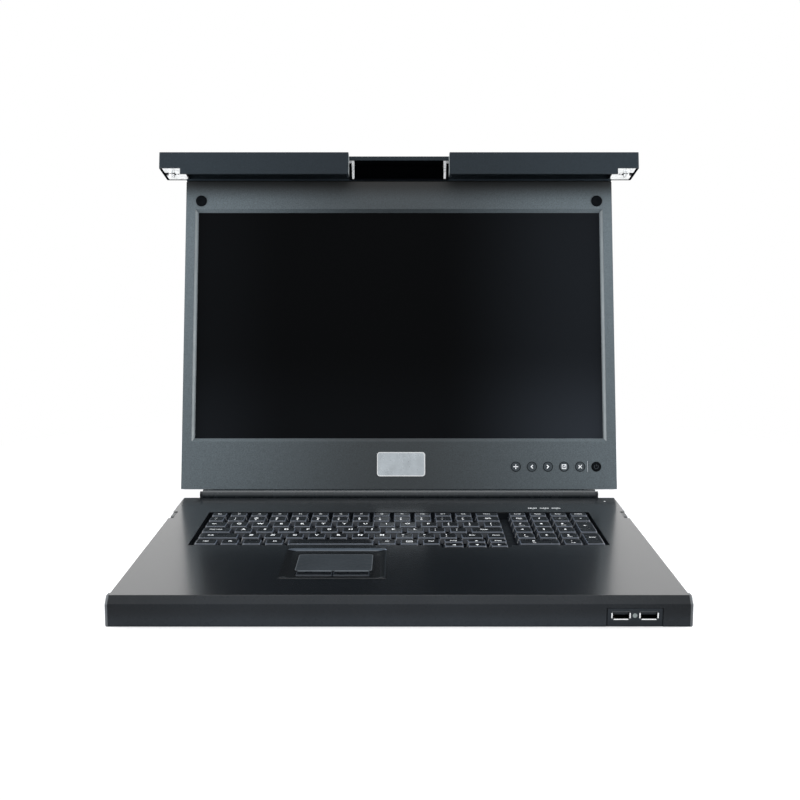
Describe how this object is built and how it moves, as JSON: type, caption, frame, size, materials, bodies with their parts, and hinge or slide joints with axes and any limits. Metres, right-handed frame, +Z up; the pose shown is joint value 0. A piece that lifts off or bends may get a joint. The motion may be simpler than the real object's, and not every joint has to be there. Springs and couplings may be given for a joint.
{
  "type": "rackmount lcd console drawer",
  "caption": "Slide-out rack drawer with a keyboard and touchpad and a folding flat display, whose far edge is the 1U front panel when closed.",
  "frame": {"origin": "on the underside plane of the tray, straight below the display's hinge axis, midway between the sides", "axes": "+X to the user's right, +Y into the rack, +Z up"},
  "size_m": [0.4826, 0.4156, 0.3626],
  "materials": {
    "zinc_steel": "zinc plated",
    "slide_steel": "zinc plated",
    "deck_black": "satin",
    "pan_steel": "satin",
    "shell_grey": "fine texture",
    "barrel_black": "semi-gloss",
    "key_plastic": "satin",
    "black_plastic": "satin",
    "touch_surface": "fine texture",
    "screen_face": "anti-glare",
    "screen_module": "smooth",
    "board_green": "solder mask",
    "port_steel": "smooth",
    "lamp_clear": "translucent",
    "badge_metal": "satin",
    "bumper_rubber": "matt",
    "button_plastic": "semi-gloss"
  },
  "bodies": {
    "rack_members": {"slide_outer_left": "slide_steel", "slide_outer_right": "slide_steel"},
    "outer_rollers": {"outer_roller_strips": "slide_steel"},
    "middle_members": {"slide_middle_left": "slide_steel", "slide_middle_right": "slide_steel"},
    "inner_rollers": {"inner_roller_strips": "slide_steel"},
    "drawer": {"slide_inner_left": "slide_steel", "slide_inner_right": "slide_steel", "base_pan": "pan_steel", "deck_cover": "deck_black", "front_lip": "deck_black", "lip_end_caps": "black_plastic", "usb_module_face": "black_plastic", "usb_port_shells": "port_steel", "usb_port_cores": "black_plastic", "indicator_lamps": "lamp_clear", "keyboard_plate": "black_plastic", "touchpad_frame": "black_plastic", "touchpad_surface": "touch_surface", "hinge_bracket_left": "pan_steel", "hinge_bracket_right": "pan_steel", "rear_bay_cover": "pan_steel", "rear_panel": "pan_steel", "main_board": "board_green", "power_supply": "pan_steel", "rear_ports": "black_plastic", "power_inlet": "black_plastic", "tray_screws": "zinc_steel"},
    "display": {"display_bezel": "shell_grey", "display_back_cover": "shell_grey", "screen_glass": "screen_face", "lcd_module": "screen_module", "display_driver_board": "board_green", "menu_board": "board_green", "hinge_barrel": "barrel_black", "front_panel_shell": "shell_grey", "ear_plate_left": "zinc_steel", "ear_plate_right": "zinc_steel", "badge_plate": "badge_metal", "display_bumpers": "bumper_rubber", "display_screws": "zinc_steel"},
    "latch_left": {"panel_latch_left": "zinc_steel"},
    "latch_right": {"panel_latch_right": "zinc_steel"},
    "release_left": {"slide_release_left": "zinc_steel"},
    "release_right": {"slide_release_right": "zinc_steel"},
    "touch_left": {"touch_button_left": "black_plastic"},
    "touch_right": {"touch_button_right": "black_plastic"},
    "menu_button_1_body": {"menu_button_1": "button_plastic"},
    "menu_button_2_body": {"menu_button_2": "button_plastic"},
    "menu_button_3_body": {"menu_button_3": "button_plastic"},
    "menu_button_4_body": {"menu_button_4": "button_plastic"},
    "menu_button_5_body": {"menu_button_5": "button_plastic"},
    "display_power_button_body": {"display_power_button": "button_plastic"},
    "function_keys_body": {"function_keys": "key_plastic"},
    "number_keys_body": {"number_keys": "key_plastic"},
    "upper_letter_keys_body": {"upper_letter_keys": "key_plastic"},
    "home_row_keys_body": {"home_row_keys": "key_plastic"},
    "lower_letter_keys_body": {"lower_letter_keys": "key_plastic"},
    "control_keys_body": {"control_keys": "key_plastic"},
    "space_bar_body": {"space_bar": "key_plastic"}
  },
  "joints": [
    {"name": "drawer_travel", "type": "slide", "parent": "rack_members", "child": "drawer", "axis": [0, -1, 0], "range_m": [0, 0.345]},
    {"name": "outer_rollers_travel", "type": "slide", "parent": "rack_members", "child": "outer_rollers", "axis": [0, -1, 0], "range_m": [0, 0.08625]},
    {"name": "middle_members_travel", "type": "slide", "parent": "rack_members", "child": "middle_members", "axis": [0, -1, 0], "range_m": [0, 0.1725]},
    {"name": "inner_rollers_travel", "type": "slide", "parent": "rack_members", "child": "inner_rollers", "axis": [0, -1, 0], "range_m": [0, 0.25875]},
    {"name": "display_hinge", "type": "hinge", "parent": "drawer", "child": "display", "pos_m": [0, 0, 0.0247], "axis": [1, 0, 0], "range_deg": [-15.7, 104.3]},
    {"name": "latch_left_slide", "type": "slide", "parent": "display", "child": "latch_left", "axis": [-1, 0, 0], "range_m": [0, 0.0025], "stiffness_N_per_m": 600, "springref_m": -0.003},
    {"name": "release_left_slide", "type": "slide", "parent": "drawer", "child": "release_left", "axis": [0, -1, 0], "range_m": [0, 0.004], "stiffness_N_per_m": 300, "springref_m": -0.003},
    {"name": "touch_left_press", "type": "slide", "parent": "drawer", "child": "touch_left", "axis": [0, 0, -1], "range_m": [0, 0.0008], "stiffness_N_per_m": 800, "springref_m": -0.0005},
    {"name": "latch_right_slide", "type": "slide", "parent": "display", "child": "latch_right", "axis": [1, 0, 0], "range_m": [0, 0.0025], "stiffness_N_per_m": 600, "springref_m": -0.003},
    {"name": "release_right_slide", "type": "slide", "parent": "drawer", "child": "release_right", "axis": [0, -1, 0], "range_m": [0, 0.004], "stiffness_N_per_m": 300, "springref_m": -0.003},
    {"name": "touch_right_press", "type": "slide", "parent": "drawer", "child": "touch_right", "axis": [0, 0, -1], "range_m": [0, 0.0008], "stiffness_N_per_m": 800, "springref_m": -0.0005},
    {"name": "menu_button_1_press", "type": "slide", "parent": "display", "child": "menu_button_1_body", "axis": [0, 0.969, -0.247], "range_m": [0, 0.0006], "stiffness_N_per_m": 1000, "springref_m": -0.0005},
    {"name": "menu_button_2_press", "type": "slide", "parent": "display", "child": "menu_button_2_body", "axis": [0, 0.969, -0.247], "range_m": [0, 0.0006], "stiffness_N_per_m": 1000, "springref_m": -0.0005},
    {"name": "menu_button_3_press", "type": "slide", "parent": "display", "child": "menu_button_3_body", "axis": [0, 0.969, -0.247], "range_m": [0, 0.0006], "stiffness_N_per_m": 1000, "springref_m": -0.0005},
    {"name": "menu_button_4_press", "type": "slide", "parent": "display", "child": "menu_button_4_body", "axis": [0, 0.969, -0.247], "range_m": [0, 0.0006], "stiffness_N_per_m": 1000, "springref_m": -0.0005},
    {"name": "menu_button_5_press", "type": "slide", "parent": "display", "child": "menu_button_5_body", "axis": [0, 0.969, -0.247], "range_m": [0, 0.0006], "stiffness_N_per_m": 1000, "springref_m": -0.0005},
    {"name": "display_power_button_press", "type": "slide", "parent": "display", "child": "display_power_button_body", "axis": [0, 0.969, -0.247], "range_m": [0, 0.0006], "stiffness_N_per_m": 1000, "springref_m": -0.0005},
    {"name": "function_keys_press", "type": "slide", "parent": "drawer", "child": "function_keys_body", "axis": [0, 0, -1], "range_m": [0, 0.0022], "stiffness_N_per_m": 600, "springref_m": -0.0015},
    {"name": "number_keys_press", "type": "slide", "parent": "drawer", "child": "number_keys_body", "axis": [0, 0, -1], "range_m": [0, 0.0022], "stiffness_N_per_m": 600, "springref_m": -0.0015},
    {"name": "upper_letter_keys_press", "type": "slide", "parent": "drawer", "child": "upper_letter_keys_body", "axis": [0, 0, -1], "range_m": [0, 0.0022], "stiffness_N_per_m": 600, "springref_m": -0.0015},
    {"name": "home_row_keys_press", "type": "slide", "parent": "drawer", "child": "home_row_keys_body", "axis": [0, 0, -1], "range_m": [0, 0.0022], "stiffness_N_per_m": 600, "springref_m": -0.0015},
    {"name": "lower_letter_keys_press", "type": "slide", "parent": "drawer", "child": "lower_letter_keys_body", "axis": [0, 0, -1], "range_m": [0, 0.0022], "stiffness_N_per_m": 600, "springref_m": -0.0015},
    {"name": "control_keys_press", "type": "slide", "parent": "drawer", "child": "control_keys_body", "axis": [0, 0, -1], "range_m": [0, 0.0022], "stiffness_N_per_m": 600, "springref_m": -0.0015},
    {"name": "space_bar_press", "type": "slide", "parent": "drawer", "child": "space_bar_body", "axis": [0, 0, -1], "range_m": [0, 0.0022], "stiffness_N_per_m": 600, "springref_m": -0.0015}
  ],
  "couplings": [
    {"joint": "outer_rollers_travel", "follows": "drawer_travel", "ratio": 0.25},
    {"joint": "middle_members_travel", "follows": "drawer_travel", "ratio": 0.5},
    {"joint": "inner_rollers_travel", "follows": "drawer_travel", "ratio": 0.75}
  ]
}
